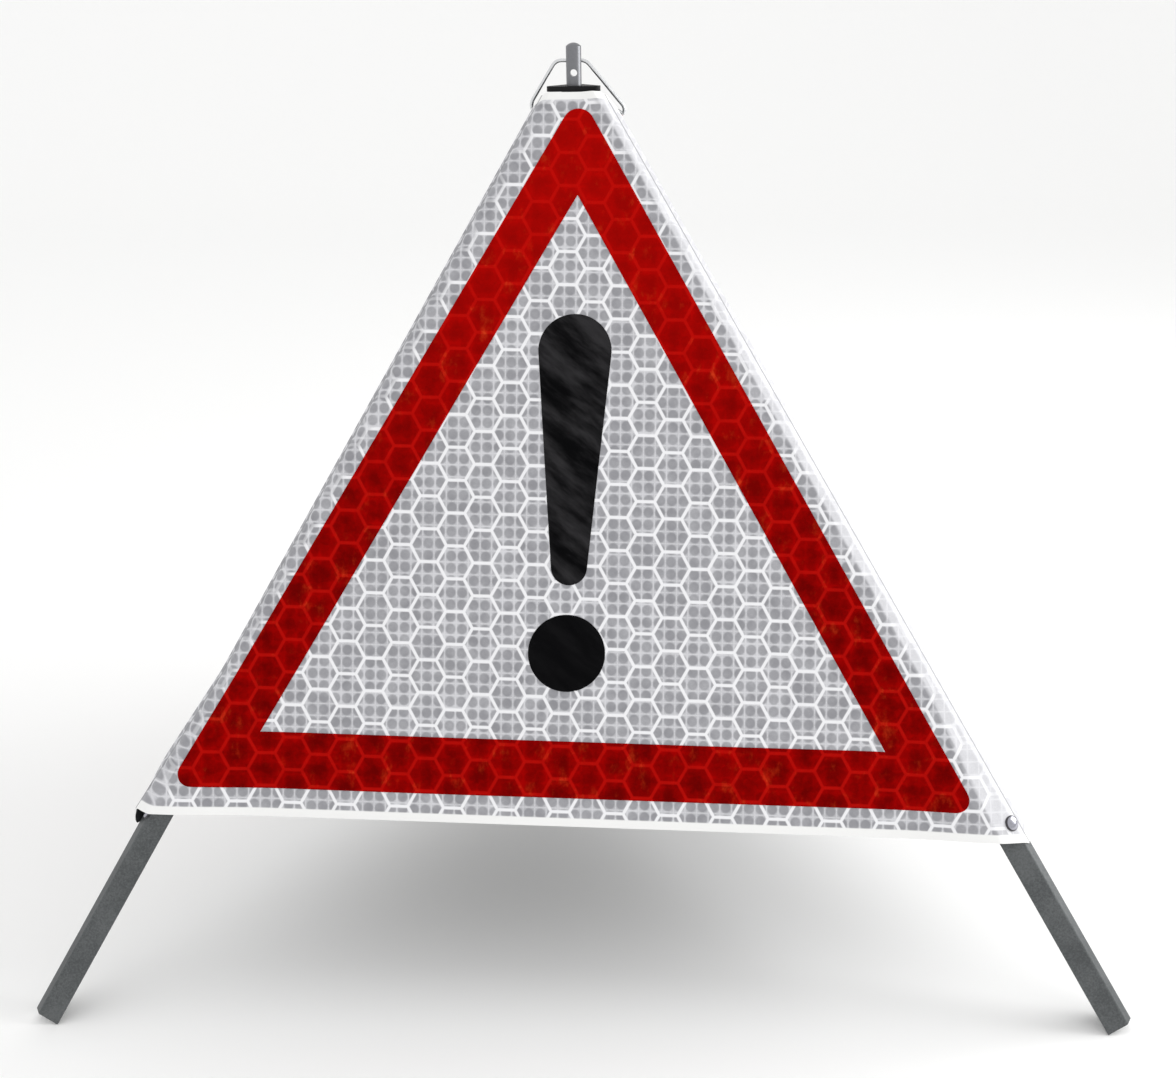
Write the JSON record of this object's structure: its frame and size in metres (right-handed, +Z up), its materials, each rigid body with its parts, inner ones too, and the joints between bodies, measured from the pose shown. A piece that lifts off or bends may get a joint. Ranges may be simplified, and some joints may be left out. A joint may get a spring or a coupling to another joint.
{
  "type": "folding roadworks warning sign",
  "caption": "Folding three-sided warning sign: tripod of channel legs hinged to a head, creasing reflective sheet faces, lamp spigot and wire carrying bail.",
  "frame": {"origin": "on the ground, at the centre of the part's box", "axes": "+Z up, -Y towards the front face of the sign"},
  "size_m": [0.8634, 0.7508, 0.7289],
  "materials": {
    "leg_steel": "galvanised, dull",
    "hub_steel": "plated",
    "bright_steel": "zinc plated",
    "black_cap": "satin",
    "white_sheet": "honeycomb prismatic reflective sheet",
    "red_film": "honeycomb prismatic reflective sheet, red",
    "black_film": "matt black print"
  },
  "bodies": {
    "head": {"head_hub": "hub_steel", "head_cap": "black_cap", "lamp_spigot": "bright_steel", "spigot_washer": "bright_steel", "spigot_nut": "bright_steel", "hinge_pin_left": "bright_steel", "hinge_pin_right": "bright_steel", "hinge_pin_rear": "bright_steel"},
    "leg_left": {"leg_left": "leg_steel", "tongue_left": "hub_steel", "tongue_rivets_left": "bright_steel", "wrap_left": "white_sheet", "corner_rivet_left": "bright_steel"},
    "leg_right": {"leg_right": "leg_steel", "tongue_right": "hub_steel", "tongue_rivets_right": "bright_steel", "wrap_right": "white_sheet", "corner_rivet_right": "bright_steel"},
    "leg_rear": {"leg_rear": "leg_steel", "tongue_rear": "hub_steel", "tongue_rivets_rear": "bright_steel", "wrap_rear": "white_sheet", "corner_rivet_rear": "bright_steel"},
    "front_half_left": {"front_sheet_left": "white_sheet", "front_red_left": "red_film", "front_mark_left": "black_film"},
    "front_half_right": {"front_sheet_right": "white_sheet", "front_red_right": "red_film", "front_mark_right": "black_film"},
    "right_half_front": {"right_sheet_front": "white_sheet", "right_red_front": "red_film", "right_mark_front": "black_film"},
    "right_half_rear": {"right_sheet_rear": "white_sheet", "right_red_rear": "red_film", "right_mark_rear": "black_film"},
    "left_half_rear": {"left_sheet_rear": "white_sheet", "left_red_rear": "red_film", "left_mark_rear": "black_film"},
    "left_half_front": {"left_sheet_front": "white_sheet", "left_red_front": "red_film", "left_mark_front": "black_film"},
    "bail": {"carry_bail": "bright_steel"}
  },
  "joints": [
    {"name": "fold_left", "type": "hinge", "parent": "head", "child": "leg_left", "pos_m": [-0.02382, -0.1342, 0.67318], "axis": [0.5, -0.866, 0], "range_deg": [0, 34.5]},
    {"name": "fold_right", "type": "hinge", "parent": "head", "child": "leg_right", "pos_m": [0.02382, -0.1342, 0.67318], "axis": [0.5, 0.866, 0], "range_deg": [0, 34.5]},
    {"name": "fold_rear", "type": "hinge", "parent": "head", "child": "leg_rear", "pos_m": [0, -0.09295, 0.67318], "axis": [-1, 0, 0], "range_deg": [0, 34.5]},
    {"name": "crease_front_left", "type": "hinge", "parent": "leg_left", "child": "front_half_left", "pos_m": [-0.15788, -0.22234, 0.44831], "axis": [-0.491, -0.2835, -0.8237], "range_deg": [0, 80.76], "deforming": ["front_sheet_left", "front_red_left", "front_mark_left"]},
    {"name": "crease_front_right", "type": "hinge", "parent": "leg_right", "child": "front_half_right", "pos_m": [0.15788, -0.22234, 0.44831], "axis": [-0.491, 0.2835, 0.8237], "range_deg": [0, 80.76], "deforming": ["front_sheet_right", "front_red_right", "front_mark_right"]},
    {"name": "crease_right_front", "type": "hinge", "parent": "leg_right", "child": "right_half_front", "pos_m": [0.16718, -0.20624, 0.44831], "axis": [0.491, -0.2835, -0.8237], "range_deg": [0, 80.76], "deforming": ["right_sheet_front", "right_red_front", "right_mark_front"]},
    {"name": "crease_right_rear", "type": "hinge", "parent": "leg_rear", "child": "right_half_rear", "pos_m": [0.0093, 0.06722, 0.44831], "axis": [0, -0.567, 0.8237], "range_deg": [0, 80.76], "deforming": ["right_sheet_rear", "right_red_rear", "right_mark_rear"]},
    {"name": "crease_left_rear", "type": "hinge", "parent": "leg_rear", "child": "left_half_rear", "pos_m": [-0.0093, 0.06722, 0.44831], "axis": [0, 0.567, -0.8237], "range_deg": [0, 80.76], "deforming": ["left_sheet_rear", "left_red_rear", "left_mark_rear"]},
    {"name": "crease_left_front", "type": "hinge", "parent": "leg_left", "child": "left_half_front", "pos_m": [-0.16718, -0.20624, 0.44831], "axis": [0.491, 0.2835, 0.8237], "range_deg": [0, 80.76], "deforming": ["left_sheet_front", "left_red_front", "left_mark_front"]},
    {"name": "bail_swing", "type": "hinge", "parent": "head", "child": "bail", "pos_m": [0, -0.10945, 0.67692], "axis": [-1, 0, 0], "range_deg": [0, 100]}
  ],
  "couplings": [
    {"joint": "fold_right", "follows": "fold_left", "ratio": 1},
    {"joint": "fold_rear", "follows": "fold_left", "ratio": 1},
    {"joint": "crease_front_left", "follows": "fold_left", "ratio": 2.335},
    {"joint": "crease_front_right", "follows": "fold_left", "ratio": 2.335},
    {"joint": "crease_right_front", "follows": "fold_left", "ratio": 2.335},
    {"joint": "crease_right_rear", "follows": "fold_left", "ratio": 2.335},
    {"joint": "crease_left_rear", "follows": "fold_left", "ratio": 2.335},
    {"joint": "crease_left_front", "follows": "fold_left", "ratio": 2.335}
  ]
}
